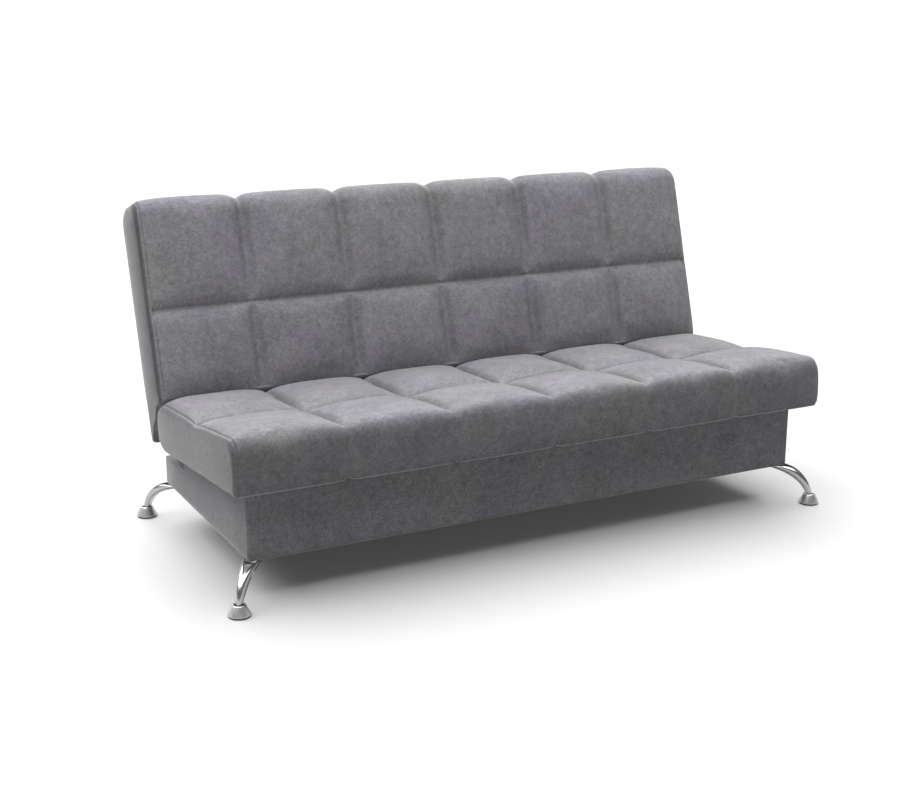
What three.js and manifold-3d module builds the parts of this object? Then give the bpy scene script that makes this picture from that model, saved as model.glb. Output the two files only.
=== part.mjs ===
// Click clack sofa bed: a storage box on four curved legs, a tufted seat that lifts, and a tufted back
// that folds down level with the seat. Millimetres, +Z up, the front faces -Y. The origin is on the
// floor, in the middle of the space that the sofa takes up.
import * as THREE from "three";
import { mergeVertices } from "three/addons/utils/BufferGeometryUtils.js";
import Module from "manifold-3d";

const wasm = await Module();
wasm.setup();

// Fits
const clearance = 0.3; // between pieces that touch
const cutOverrun = 40; // how far a cutter runs past what it cuts
const roundSteps = 24; // flats round a pin or a hole
const cornerSteps = 4; // flats round a corner of the box

// Quilting that both cushions share
const padColumns = 6;
const padCrown = 14; // how far a pad stands above its channels
const channelDip = 3; // how far the channel between the two rows lies below the others
const bumpPower = 3; // a high power gives flat pads with tight channels
const columnShares = [-1, -0.8, -0.4, 0, 0.4, 0.8];
const sideEdgeRadius = 8;
const sideEdgeShares = [0.3, 1, 2.5]; // stations next to a side border, in side edge radii

// Seat cushion, measured from the seam line along its front edge
const seatHalfWidth = 950;
const seatSeamHeight = 458.3; // of the seam line above the floor
const seatThickness = 136.6;
const seatDepth = 678;
const seatRowShare = 0.4636; // of the depth, to the channel between the rows
const seatTiltDegrees = 4.8;
const seatFrontRadius = 33;
const seatFrontRise = 9; // how far the rounded front stands above the channel line
const seatFaceBulge = 7; // how far the front face stands out past the seam line
const seatHemInset = 14;
const seatNoseRadius = 53; // of the rounded rear end
const seatPadShares = [0.3, 0.72, 0.93]; // of the way across a row, from the rounded edge
const seatPadLiftShares = [1, 0.9, 0.45];
const seatHemLiftShares = [0.1, 0.25, 0.4]; // how much of the crown reaches the hem and the face
const seatFrontLiftShares = [0.5, 0.6, 0.72, 0.85, 0.95];
const seatNoseLiftShares = [0.45, 0.25, 0.1, 0];
const faceHeightShare = 0.38;

// Back cushion, measured along its face from the hinge line between seat and back
const backSideInset = 1.5; // in from the ends of the seat
const backHeight = 656;
const backThickness = 165;
const backTiltDegrees = 16.3; // from upright
const backRowShare = 0.5102; // of the height, to the channel between the rows
const backEndStart = 64; // where the lower end of the cushion begins
const backEndRadius = 55;
const backTopRadius = 38;
const backTopRearRadius = 30;
const backCornerRadius = 38; // of the two top corners, seen from the front
const backCornerReach = 130; // the length of side border that the corner draws in
const backTailReach = 46.6; // how far the tail hangs below the hinge line
const backTailThickness = 24;
const backTailChamfer = 12;
const backRearCrown = 3;
const backEndLiftShares = [0, 0, 0.1, 0.25, 0.45];
const backTopLiftShares = [0.95, 0.85, 0.75, 0.65];
const backTopRearLiftShares = [0.45, 0.25, 0.1];

// Hinges. The line between seat and back lies half the seat's thickness below both faces.
const hingeInset = 2; // in from the rear of the seat
const liftHingeInset = 41.1; // in from the rear of the box
const liftHingeShare = 0.40585; // of the height of the seat's seam line, as are the box's heights

// Box
const boxSideInset = 53.5; // in from the ends of the seat
const boxFrontInset = 58.2; // behind the seam line of the seat
const boxRearReach = 111.1; // behind the rear end of the seat
const boxUndersideShare = 0.2575;
const boxRearShare = 0.4451; // to the top of the rear panel
const boxShoulderInset = 214; // from the rear, where the side panels begin to drop
const boxShoulderRun = 31;
const boxShoulderShare = 0.4582; // to the foot of the drop
const boxSkinThickness = 2;
const boxEdgeRadius = 6;
const boxPanelThickness = 16;
const boxFloorThickness = 12;
const cornerBlockSide = 60;
const cornerBlockRoom = 1.7; // below the brackets

// Legs and feet
const footOutX = 50.5; // from a corner of the box to the middle of its foot
const footOutY = 59;
const glideRadius = 28;
const glideHeight = 4;
const coneBaseRadius = 31;
const coneTopRadius = 17;
const coneHeight = 28;
const legSocketDepth = 16;
const legOuterInset = 12; // from the corner of the box to the top of the leg's outer curve
const legInnerInset = 110;
const legFootHalfLength = 8.5;
const legFootHalfWidth = 8;
const legTopHalfWidth = 30;
const legWidthPower = 1.3;
const legCurveSteps = 12;
const legPlateThickness = 3.3;
const legNotchLength = 58;
const legNotchHalfWidth = 17;
const legNotchFloorDrop = 26;
const legSectionOuterShares = [0, 0.25, 1]; // of the way from the outer to the inner curve
const legSectionWidthShares = [0.35, 0.85, 1];

// Frames, foam and cloth inside the cushions
const paddingThickness = 25; // least cover between a pad channel and the foam
const railThickness = 25;
const seatFoamThickness = 46;
const backFoamThickness = 48;
const clothThickness = 2;
const slatThickness = 12;
const slatWidth = 60;
const slatCount = 11;
const strapThickness = 2;
const strapWidth = 40;
const strapShares = [0.25, 0.75]; // of the length of the slats
const seatPocketFront = 20;
const seatPocketRearInset = 93;
const backPocketBottom = 85;
const backPocketTopInset = 36;

// Mechanism at each end
const plateThickness = 4;
const plateGap = 1; // between plates that turn past each other
const pinRadius = 6;
const pinHeadRadius = 10;
const pinHeadThickness = 3;
const ratchetPinHead = 2; // thickness of its outer head
const liftHubRadius = 17;
const ratchetHubRadius = 26;
const armWebHalfWidth = 13;
const armRailHalfHeight = 15;
const armRailRise = 22; // from the underside of the cushion to the middle of the arm
const backArmHalfWidth = 17;
const armEndRoom = 50; // between the middle rail and the end of an arm's web
const backArmDrop = 55; // from the hinge line down to the middle of the arm's rail end
const bracketAhead = 46; // the bracket's reach from the lift pin
const bracketBehind = 20;
const bracketBelow = 20;
const bracketAbove = 15;
const sectorRadius = 40;
const notchDepth = 5;
const notchHalfWidth = 2.4;
const notchTurnDegrees = [-9, 0, 38, 78.5]; // the recline angles that the pawl can hold
const pawlReach = 32; // pivot to tooth
const pawlSetBack = 9; // pivot behind the tooth's tip
const pawlHubRadius = 8;
const pawlToothHalfWidth = 1;
const pawlTailReach = 15;
const pawlTailHalfWidth = 4;
const pawlLift = 0.5; // tooth clear of the sector, pawl lifted
const pawlDropDegrees = 7; // from lifted to the bottom of a notch
const pawlStudRadius = 4.5;
const springPostRadius = 2;
const springPostSetBack = 36; // behind the pawl's pivot
const springRadius = 3.4;
const springWireRadius = 0.6;
const springTurns = 5;
const springStepsPerTurn = 8;
const springWireSides = 5;
const slotInnerRoom = 11.4; // past the arms, in the slots of the covers that they move in
const slotOuterRoom = 4.1;
const slotCeilingDrop = 20; // cover left above the slot in the seat
const slotOpenStart = 46; // from the rear of the seat, where that slot opens upwards
const seatSlotLength = 138;
const backSlotHeight = 110;

// Places that follow from the sizes above
const seatTilt = THREE.MathUtils.degToRad(seatTiltDegrees);
const backTilt = THREE.MathUtils.degToRad(backTiltDegrees);
const restTurn = Math.PI / 2 - backTilt + seatTilt; // back against seat, upright
const seatRowLine = seatDepth * seatRowShare;
const seatPocketRear = seatDepth - seatPocketRearInset;
const backHalfWidth = seatHalfWidth - backSideInset;
const backRowLine = backHeight * backRowShare;
const backPocketTop = backHeight - backPocketTopInset;
const hingeDepth = seatThickness / 2;
const ratchetHinge = { y: seatDepth - hingeInset, z: -hingeDepth };
const boxHalfWidth = seatHalfWidth - boxSideInset;
const boxFront = boxFrontInset;
const boxRear = seatDepth + boxRearReach;
const boxUnderside = seatSeamHeight * boxUndersideShare;
const liftHinge = { y: boxRear - liftHingeInset, z: seatSeamHeight * liftHingeShare };
const backRearFace = hingeDepth - backThickness;
const skinInside = boxHalfWidth - boxSkinThickness - clearance;
const panelInside = skinInside - boxPanelThickness;
const bracketInner = panelInside - clearance - plateThickness;
const seatArmInner = bracketInner - plateGap - plateThickness;
const backArmInner = seatArmInner - 1.5 * plateGap - plateThickness;
const seatRailInner = seatArmInner + plateThickness + clearance;
const backRailInner = backArmInner + plateThickness + clearance;
const slotInner = backArmInner - slotInnerRoom;
const slotOuter = seatArmInner + plateThickness + slotOuterRoom;

// A place given in the box's plane, seen from the seat cushion's own frame
function seenFromSeat({ y, z }) {
  const down = z - seatSeamHeight;
  return {
    y: y * Math.cos(seatTilt) - down * Math.sin(seatTilt),
    z: y * Math.sin(seatTilt) + down * Math.cos(seatTilt),
  };
}

// Height of the seat's underside above the floor, at a distance behind the seam line
function seatUnderside(y) {
  const across = y + seatThickness * Math.sin(seatTilt);
  return seatSeamHeight - seatThickness * Math.cos(seatTilt) - across * Math.tan(seatTilt);
}

// Solids

function solid(geometry) {
  const bare = geometry.clone();
  bare.deleteAttribute("normal");
  bare.deleteAttribute("uv");
  const merged = mergeVertices(bare, clearance / 100);
  const mesh = new wasm.Mesh({
    numProp: 3,
    vertProperties: new Float32Array(merged.attributes.position.array),
    triVerts: new Uint32Array(merged.index.array),
  });
  return new wasm.Manifold(mesh);
}

function geometryOf(body) {
  const mesh = body.getMesh();
  const geometry = new THREE.BufferGeometry();
  geometry.setAttribute("position", new THREE.BufferAttribute(mesh.vertProperties, 3));
  geometry.setIndex(new THREE.BufferAttribute(mesh.triVerts, 1));
  return geometry;
}

function block([x0, x1], [y0, y1], [z0, z1]) {
  const box = new THREE.BoxGeometry(x1 - x0, y1 - y0, z1 - z0);
  return solid(box.translate((x0 + x1) / 2, (y0 + y1) / 2, (z0 + z1) / 2));
}

// An outline drawn in Y and Z, carried along X from x0 to x1
function alongX(points, [x0, x1]) {
  const shape = new THREE.Shape(points.map(([y, z]) => new THREE.Vector2(y, z)));
  const prism = new THREE.ExtrudeGeometry(shape, { depth: x1 - x0, bevelEnabled: false });
  const axes = new THREE.Matrix4().makeBasis(
    new THREE.Vector3(0, 1, 0),
    new THREE.Vector3(0, 0, 1),
    new THREE.Vector3(1, 0, 0),
  );
  return solid(prism.applyMatrix4(axes).translate(x0, 0, 0));
}

// An outline drawn in X and Y, carried up from z0 to z1
function upZ(points, [z0, z1]) {
  const shape = new THREE.Shape(points.map(([x, y]) => new THREE.Vector2(x, y)));
  const prism = new THREE.ExtrudeGeometry(shape, { depth: z1 - z0, bevelEnabled: false });
  return solid(prism.translate(0, 0, z0));
}

function roundAlongX({ y, z }, radius, span) {
  return alongX(circle(y, z, radius), span);
}

function circle(y, z, radius) {
  return arc(y, z, radius, 0, 360 - 360 / roundSteps, roundSteps - 1);
}

function arc(y, z, radius, from, to, steps) {
  return Array.from({ length: steps + 1 }, (_, i) => {
    const turn = THREE.MathUtils.degToRad(from + ((to - from) * i) / steps);
    return [y + radius * Math.cos(turn), z + radius * Math.sin(turn)];
  });
}

// A straight web with round ends, from one place to another
function web(from, to, halfWidth, span) {
  const heading = THREE.MathUtils.radToDeg(Math.atan2(to.z - from.z, to.y - from.y));
  const steps = roundSteps / 2;
  return alongX(
    [
      ...arc(from.y, from.z, halfWidth, heading + 90, heading + 270, steps),
      ...arc(to.y, to.z, halfWidth, heading - 90, heading + 90, steps),
    ],
    span,
  );
}

// A closed body through rings of the same number of points. Its flat ends are seen along X, or along Z
// where the rings lie level.
function loft(rings, level = false) {
  const count = rings[0].length;
  const positions = rings.flat().flatMap(({ x, y, z }) => [x, y, z]);
  const faces = [];
  for (let ring = 0; ring + 1 < rings.length; ring++) {
    for (let i = 0; i < count; i++) {
      const next = (i + 1) % count;
      const [a, b] = [ring * count + i, ring * count + next];
      const [c, d] = [a + count, b + count];
      faces.push(a, c, b, b, c, d);
    }
  }
  const capFaces = (ring, turned) => {
    const flat = rings[ring].map(({ x, y, z }) => new THREE.Vector2(level ? x : y, level ? y : z));
    const forward = THREE.ShapeUtils.area(flat) > 0;
    for (const [a, b, c] of THREE.ShapeUtils.triangulateShape(flat, [])) {
      const alike = THREE.ShapeUtils.area([flat[a], flat[b], flat[c]]) > 0 === forward;
      const corners = alike !== turned ? [a, b, c] : [a, c, b];
      faces.push(...corners.map((i) => ring * count + i));
    }
  };
  capFaces(0, false);
  capFaces(rings.length - 1, true);
  const geometry = new THREE.BufferGeometry();
  geometry.setAttribute("position", new THREE.Float32BufferAttribute(positions, 3));
  geometry.setIndex(faces);
  return solid(geometry);
}

// Materials

function material(color, roughness, metalness) {
  return new THREE.MeshStandardMaterial({ color, roughness, metalness });
}

const fabric = () => material(0x7f7f82, 0.95, 0);
const darkFabric = () => material(0x2c2c2e, 0.95, 0);
const foam = () => material(0xd9cfa8, 0.9, 0);
const softwood = () => material(0xc49a63, 0.75, 0);
const plywood = () => material(0xb58a57, 0.7, 0);
const beech = () => material(0xd2ab78, 0.6, 0);
const chrome = () => material(0xc9cbce, 0.12, 1);
const zincSteel = () => material(0x9a9da1, 0.4, 1);
const springSteel = () => material(0x6f7276, 0.35, 1);
const rubber = () => material(0x1a1a1c, 0.85, 0);

// Groups: the back turns on the seat, and the seat turns on the box

const sofa = new THREE.Group();
const seatGroup = new THREE.Group();
const backGroup = new THREE.Group();
sofa.add(seatGroup);
seatGroup.add(backGroup);
seatGroup.position.z = seatSeamHeight;
seatGroup.rotation.x = -seatTilt;
backGroup.position.set(0, ratchetHinge.y, ratchetHinge.z);
backGroup.rotation.x = restTurn;

function addPiece(group, name, body, look) {
  const mesh = new THREE.Mesh(geometryOf(body), look);
  mesh.name = name;
  group.add(mesh);
  return mesh;
}

const mirrorX = (body) => body.mirror([1, 0, 0]);
const sides = [
  ["left", -1],
  ["right", 1],
];

function addPair(group, name, body, look) {
  for (const [side, sign] of sides) {
    addPiece(group, `${name}_${side}`, sign < 0 ? mirrorX(body) : body, look());
  }
}

// Tufted cushions

// Each point of an outline holds its place at channel level and the share of the crown that a pad adds
const at = (y, z, lift = 0) => ({ y, z, lift });

function edgeArc(y, z, radius, from, to, lifts) {
  const points = arc(y, z, radius, from, to, lifts.length - 1);
  return points.map(([py, pz], i) => at(py, pz, lifts[i]));
}

function padRow(fromY, fromZ, toY, toZ, shares, lifts) {
  return shares.map((share, i) => {
    return at(fromY + (toY - fromY) * share, fromZ + (toZ - fromZ) * share, lifts[i]);
  });
}

// Where the rings stand across a cushion: through each column of pads, and close together at the ends
function stations(halfWidth) {
  const columnWidth = (2 * halfWidth) / padColumns;
  const inner = halfWidth - Math.max(...sideEdgeShares) * sideEdgeRadius;
  const xs = sideEdgeShares.map((share) => halfWidth - share * sideEdgeRadius);
  const found = [halfWidth, ...xs, ...xs.map((x) => -x), -halfWidth];
  for (let column = 0; column < padColumns; column++) {
    for (const share of columnShares) {
      const x = -halfWidth + columnWidth * (column + (1 + share) / 2);
      if (Math.abs(x) < inner) found.push(x);
    }
  }
  return found.sort((a, b) => a - b);
}

// How far a rounded corner has dropped at a place along its way to the end
function roundingDrop(place, end, radius) {
  const share = Math.min(1, Math.max(0, 1 - (end - place) / radius));
  return radius * (1 - Math.sqrt(1 - share ** 2));
}

// One ring of a cushion: each pad swells between its channels, and the side edge is rounded off
function cushionRing(outline, x, halfWidth) {
  const columnWidth = (2 * halfWidth) / padColumns;
  const place = ((x + halfWidth) / columnWidth) % 1;
  const bump = 1 - Math.abs(2 * place - 1) ** bumpPower;
  const inset = roundingDrop(Math.abs(x), halfWidth, sideEdgeRadius);
  return outline.map((point, i) => {
    const before = outline[(i + outline.length - 1) % outline.length];
    const after = outline[(i + 1) % outline.length];
    const along = new THREE.Vector2(after.y - before.y, after.z - before.z).normalize();
    const out = padCrown * point.lift * bump - inset;
    return new THREE.Vector3(x, point.y - along.y * out, point.z + along.x * out);
  });
}

function seatOutline() {
  const noLift = seatNoseLiftShares.map(() => 0);
  const frontY = seatFrontRadius - seatFaceBulge;
  const frontZ = seatFrontRise - seatFrontRadius;
  const noseY = seatDepth - seatNoseRadius;
  const underside = -seatThickness;
  const rearShares = seatPadShares.map((share) => 1 - share).reverse();
  const rearLifts = [...seatPadLiftShares].reverse();
  return [
    at(seatHemInset, underside, seatHemLiftShares[0]),
    at(0, underside, seatHemLiftShares[1]),
    at(-seatFaceBulge, underside * (1 - faceHeightShare), seatHemLiftShares[2]),
    ...edgeArc(frontY, frontZ, seatFrontRadius, 180, 90, seatFrontLiftShares),
    ...padRow(frontY, seatFrontRise, seatRowLine, 0, seatPadShares, seatPadLiftShares),
    at(seatRowLine, -channelDip),
    ...padRow(seatRowLine, 0, noseY, 0, rearShares, rearLifts),
    ...edgeArc(noseY, -seatNoseRadius, seatNoseRadius, 90, 0, seatNoseLiftShares),
    ...edgeArc(noseY, underside + seatNoseRadius, seatNoseRadius, 0, -90, noLift),
  ];
}

function backOutline() {
  const face = hingeDepth;
  const rear = backRearFace;
  const endY = backEndStart + backEndRadius;
  const topY = backHeight - backTopRadius;
  const tailTop = rear + backTailThickness;
  const upperShares = seatPadShares.map((share) => 1 - share).reverse();
  const upperLifts = [...seatPadLiftShares].reverse();
  return [
    at(-backTailReach, rear),
    at(-backTailReach, tailTop),
    at(backEndStart - backTailChamfer, tailTop),
    at(backEndStart, tailTop + backTailChamfer),
    ...edgeArc(endY, face - backEndRadius, backEndRadius, 180, 90, backEndLiftShares),
    ...padRow(endY, face, backRowLine, face, seatPadShares, seatPadLiftShares),
    at(backRowLine, face - channelDip),
    ...padRow(backRowLine, face, topY, face, upperShares, upperLifts),
    ...edgeArc(topY, face - backTopRadius, backTopRadius, 90, 0, backTopLiftShares),
    ...edgeArc(
      backHeight - backTopRearRadius,
      rear + backTopRearRadius,
      backTopRearRadius,
      0,
      -90,
      backTopRearLiftShares,
    ),
    at(backRowLine, rear, backRearCrown / padCrown),
  ];
}

// The top corners of the back are drawn in on a radius, seen from the front
function roundTopCorners(ring) {
  const start = backHeight - backCornerReach;
  for (const point of ring) {
    const drop = roundingDrop(Math.abs(point.x), backHalfWidth, backCornerRadius);
    if (point.y > start) point.y -= (drop * (point.y - start)) / backCornerReach;
  }
  return ring;
}

// Slots at both ends of a cover for the arms and the pawl: the same cutter, mirrored
function cutSlots(cover, cutters) {
  const both = cutters.flatMap((cutter) => [cutter, mirrorX(cutter)]);
  return both.reduce((left, cutter) => left.subtract(cutter), cover);
}

function seatCover() {
  const outline = seatOutline();
  const rings = stations(seatHalfWidth).map((x) => cushionRing(outline, x, seatHalfWidth));
  const below = -seatThickness - cutOverrun;
  const pocket = block(
    [-seatPocketHalfWidth, seatPocketHalfWidth],
    [seatPocketFront, seatPocketRear],
    [below, -paddingThickness],
  );
  const reach = seatDepth + cutOverrun;
  const slot = [slotInner, slotOuter];
  const low = block(slot, [seatDepth - seatSlotLength, reach], [below, -slotCeilingDrop]);
  const open = block(slot, [seatDepth - slotOpenStart, reach], [below, cutOverrun]);
  return cutSlots(loft(rings).subtract(pocket), [low, open]);
}

function backCover() {
  const outline = backOutline();
  const marks = stations(backHalfWidth);
  const rings = marks.map((x) => roundTopCorners(cushionRing(outline, x, backHalfWidth)));
  const below = backRearFace - cutOverrun;
  const pocket = block(
    [-backPocketHalfWidth, backPocketHalfWidth],
    [backPocketBottom, backPocketTop],
    [below, hingeDepth - paddingThickness],
  );
  const slot = block(
    [slotInner, slotOuter],
    [-backTailReach - cutOverrun, backSlotHeight],
    [below, hingeDepth - slotCeilingDrop],
  );
  return cutSlots(loft(rings).subtract(pocket), [slot]);
}

// Foam, frame, slats and cloth of a cushion, which lies in its own frame with its face up
const seatPocketHalfWidth = seatRailInner + railThickness + clearance;
const backPocketHalfWidth = backRailInner + railThickness + clearance;

function cushionInside(cushion) {
  const { group, name, halfWidth, y0, y1, top, bottom, foamThickness, midY } = cushion;
  const inner = halfWidth - clearance;
  const [low, high] = [y0 + clearance, y1 - clearance];
  const foamTop = top - clearance;
  const foamUnder = foamTop - foamThickness;
  const strapTop = foamUnder - clearance;
  const slatTop = strapTop - strapThickness / 2;
  const railTop = slatTop - slatThickness - clearance;
  const railUnder = bottom + 2 * clearance + clothThickness;
  const railHeight = [railUnder, railTop];
  const slatReach = cushion.armInner - clearance;

  addPiece(
    group,
    `${name}_foam`,
    block([-inner, inner], [low, high], [foamUnder, foamTop]),
    foam(),
  );
  const railSpan = [cushion.railInner, cushion.railInner + railThickness];
  addPair(group, `${name}_rail`, block(railSpan, [low, high], railHeight), softwood);
  const crossRail = (part, at, reach) => {
    addPiece(
      group,
      `${name}_${part}_rail`,
      block([-reach, reach], [at, at + railThickness], railHeight),
      softwood(),
    );
  };
  const fullReach = cushion.railInner - clearance;
  crossRail(cushion.lowRail, low, cushion.armAtHigh ? fullReach : slatReach);
  crossRail("mid", midY - railThickness / 2, fullReach);
  crossRail(cushion.highRail, high - railThickness, cushion.armAtHigh ? slatReach : fullReach);
  addPiece(group, `${name}_slats`, slatBed(slatReach, low, high, slatTop, strapTop), beech());
}

// Slats across the frame's short way, held at their spacing by two straps
function slatBed(reach, low, high, slatTop, strapTop) {
  const pitch = (2 * reach - slatWidth) / (slatCount - 1);
  const thickness = [slatTop - slatThickness, slatTop];
  let bed = null;
  for (let i = 0; i < slatCount; i++) {
    const x = -reach + i * pitch;
    const slat = block([x, x + slatWidth], [low, high], thickness);
    bed = bed ? bed.add(slat) : slat;
  }
  for (const share of strapShares) {
    const y = low + (high - low) * share;
    const span = [y - strapWidth / 2, y + strapWidth / 2];
    bed = bed.add(block([-reach, reach], span, [strapTop - strapThickness, strapTop]));
  }
  return bed;
}

// Base

// Everything above the sloping top of the box, lowered by a set-back
function aboveBox(setBack) {
  const shoulder = boxRear - boxShoulderInset;
  const front = boxFront - cutOverrun;
  const rear = boxRear + cutOverrun;
  const roof = seatSeamHeight;
  const down = clearance + setBack;
  const points = [
    [front, seatUnderside(front) - down],
    [shoulder, seatUnderside(shoulder) - down],
    [shoulder + boxShoulderRun, roof * boxShoulderShare - setBack],
    [boxRear, roof * boxRearShare - setBack],
    [rear, roof * boxRearShare - setBack],
    [rear, roof],
    [front, roof],
  ];
  return alongX(points, [-boxHalfWidth - cutOverrun, boxHalfWidth + cutOverrun]);
}

function roundedRectangle(halfWidth, y0, y1, radius) {
  return [
    ...arc(halfWidth - radius, y1 - radius, radius, 0, 90, cornerSteps),
    ...arc(-halfWidth + radius, y1 - radius, radius, 90, 180, cornerSteps),
    ...arc(-halfWidth + radius, y0 + radius, radius, 180, 270, cornerSteps),
    ...arc(halfWidth - radius, y0 + radius, radius, 270, 360, cornerSteps),
  ];
}

function boxSkin() {
  const height = [boxUnderside, seatSeamHeight];
  const t = boxSkinThickness;
  const outer = roundedRectangle(boxHalfWidth, boxFront, boxRear, boxEdgeRadius);
  const inner = roundedRectangle(boxHalfWidth - t, boxFront + t, boxRear - t, boxEdgeRadius - t);
  const bore = [boxUnderside - cutOverrun, seatSeamHeight + cutOverrun];
  return upZ(outer, height).subtract(upZ(inner, bore)).subtract(aboveBox(0));
}

function addBox() {
  addPiece(sofa, "box_cover", boxSkin(), fabric());
  const lining = boxSkinThickness + clearance;
  const [front, rear] = [boxFront + lining, boxRear - lining];
  const corner = boxEdgeRadius - lining;
  const floorTop = boxUnderside + boxFloorThickness;
  const floorEdge = roundedRectangle(skinInside, front, rear, corner);
  addPiece(sofa, "box_floor", upZ(floorEdge, [boxUnderside, floorTop]), plywood());

  const panelHeight = [floorTop + clearance, seatSeamHeight];
  const trimmed = (panel) => panel.subtract(aboveBox(clearance)).intersect(
    upZ(floorEdge, panelHeight),
  );
  const full = [-skinInside, skinInside];
  const frontPanel = block(full, [front, front + boxPanelThickness], panelHeight);
  const rearPanel = block(full, [rear - boxPanelThickness, rear], panelHeight);
  addPiece(sofa, "box_front_panel", trimmed(frontPanel), plywood());
  addPiece(sofa, "box_rear_panel", trimmed(rearPanel), plywood());
  const between = [
    front + boxPanelThickness + clearance,
    rear - boxPanelThickness - clearance,
  ];
  const sidePanel = block([panelInside, skinInside], between, panelHeight);
  addPair(sofa, "box_panel", trimmed(sidePanel), plywood);

  const blockTop = liftHinge.z - bracketBelow - cornerBlockRoom;
  const blockHeight = [floorTop + clearance, blockTop];
  const across = [panelInside - clearance - cornerBlockSide, panelInside - clearance];
  const ends = {
    front: [between[0], between[0] + cornerBlockSide],
    rear: [between[1] - cornerBlockSide, between[1]],
  };
  for (const [end, span] of Object.entries(ends)) {
    addPair(sofa, `corner_block_${end}`, block(across, span, blockHeight), softwood);
  }
}

// Legs: each stands in a plane that runs out through a corner of the box. X is outwards there, from the
// corner, and Y is across.

const footOut = Math.hypot(footOutX, footOutY);
const legTop = boxUnderside - clearance;
const coneBottom = glideHeight + clearance;
const coneTop = coneBottom + coneHeight;
const legBottom = coneTop - legSocketDepth + clearance;
const legSocketRise = (coneTop - legBottom) / (legTop - legBottom);
const legSocketShare = Math.acos(legSocketRise) / (Math.PI / 2); // where the leg enters its foot

// A quarter of an ellipse that leaves the box level and comes down upright at the foot
function legCurve(startX, endX, share) {
  const turn = (Math.PI / 2) * share;
  const x = startX + (endX - startX) * Math.sin(turn);
  return { x, z: legBottom + (legTop - legBottom) * Math.cos(turn) };
}

function legSection(share) {
  const outer = legCurve(-legOuterInset, footOut + legFootHalfLength, share);
  const inner = legCurve(-legInnerInset, footOut - legFootHalfLength, share);
  const spread = legTopHalfWidth - legFootHalfWidth;
  const halfWidth = legFootHalfWidth + spread * (1 - share) ** legWidthPower;
  const side = (sign) => {
    return legSectionOuterShares.map((inward, i) => {
      return new THREE.Vector3(
        outer.x + (inner.x - outer.x) * inward,
        sign * halfWidth * legSectionWidthShares[i],
        outer.z + (inner.z - outer.z) * inward,
      );
    });
  };
  return [...side(1), ...side(-1).reverse()];
}

function leg() {
  const sections = [];
  for (let i = 0; i <= legCurveSteps; i++) sections.push(legSection(i / legCurveSteps));
  const horn = loft(sections, true);
  const plateUnder = legTop - legPlateThickness;
  const notch = upZ(
    [
      [-legOuterInset, -legNotchHalfWidth],
      [legNotchLength - legOuterInset, 0],
      [-legOuterInset, legNotchHalfWidth],
    ],
    [legTop - legNotchFloorDrop, legTop + cutOverrun],
  );
  const plate = block(
    [-legInnerInset, -legOuterInset],
    [-legTopHalfWidth, legTopHalfWidth],
    [plateUnder, legTop],
  );
  return horn.subtract(notch).add(plate);
}

function footCone() {
  const profile = [
    [0, coneBottom],
    [coneBaseRadius, coneBottom],
    [coneTopRadius, coneTop],
    [0, coneTop],
  ].map(([r, z]) => new THREE.Vector2(r, z));
  const cone = new THREE.LatheGeometry(profile, roundSteps).rotateX(Math.PI / 2);
  const fit = 2 * clearance;
  const held = [...legSection(legSocketShare), ...legSection(1)];
  const reach = Math.max(...held.map(({ y }) => y)) + fit;
  const along = held.map(({ x }) => x - footOut);
  const socket = block(
    [Math.min(...along) - fit, Math.max(...along) + fit],
    [-reach, reach],
    [legBottom - clearance, coneTop + cutOverrun],
  );
  return solid(cone).subtract(socket);
}

function addLegs() {
  const horn = leg();
  const cone = footCone();
  const glide = solid(
    new THREE.CylinderGeometry(glideRadius, glideRadius, glideHeight, roundSteps)
      .rotateX(Math.PI / 2)
      .translate(0, 0, glideHeight / 2),
  );
  for (const [end, y, ahead] of [
    ["front", boxFront, -1],
    ["rear", boxRear, 1],
  ]) {
    for (const [side, sign] of sides) {
      const corner = new THREE.Group();
      corner.position.set(sign * boxHalfWidth, y, 0);
      corner.rotation.z = Math.atan2(ahead * footOutY, sign * footOutX);
      sofa.add(corner);
      addPiece(corner, `leg_${end}_${side}`, horn, chrome());
      addPiece(corner, `foot_cone_${end}_${side}`, cone, chrome()).position.x = footOut;
      addPiece(corner, `glide_${end}_${side}`, glide, rubber()).position.x = footOut;
    }
  }
}

// Cloth that closes the underside of a cushion, cut away where the arms pass
function clothPanel({ halfWidth, y0, y1, bottom, notchY, armAtHigh }) {
  const x = halfWidth - clearance;
  const [low, high] = [y0 + clearance, y1 - clearance];
  const height = [bottom + clearance, bottom + clearance + clothThickness];
  const whole = block([-x, x], [low, high], height);
  const notchSpan = armAtHigh ? [notchY, high + cutOverrun] : [low - cutOverrun, notchY];
  const notch = block([slotInner, x + cutOverrun], notchSpan, [
    height[0] - cutOverrun,
    height[1] + cutOverrun,
  ]);
  return cutSlots(whole, [notch]);
}

function addSeat() {
  const cushion = {
    group: seatGroup,
    name: "seat",
    halfWidth: seatPocketHalfWidth,
    y0: seatPocketFront,
    y1: seatPocketRear,
    top: -paddingThickness,
    bottom: -seatThickness,
    foamThickness: seatFoamThickness,
    midY: seatRowLine,
    railInner: seatRailInner,
    armInner: seatArmInner,
    armAtHigh: true,
    lowRail: "front",
    highRail: "rear",
    notchY: seatDepth - seatSlotLength,
  };
  addPiece(seatGroup, "seat_cover", seatCover(), fabric());
  cushionInside(cushion);
  addPiece(seatGroup, "seat_bottom_cloth", clothPanel(cushion), darkFabric());
}

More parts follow.
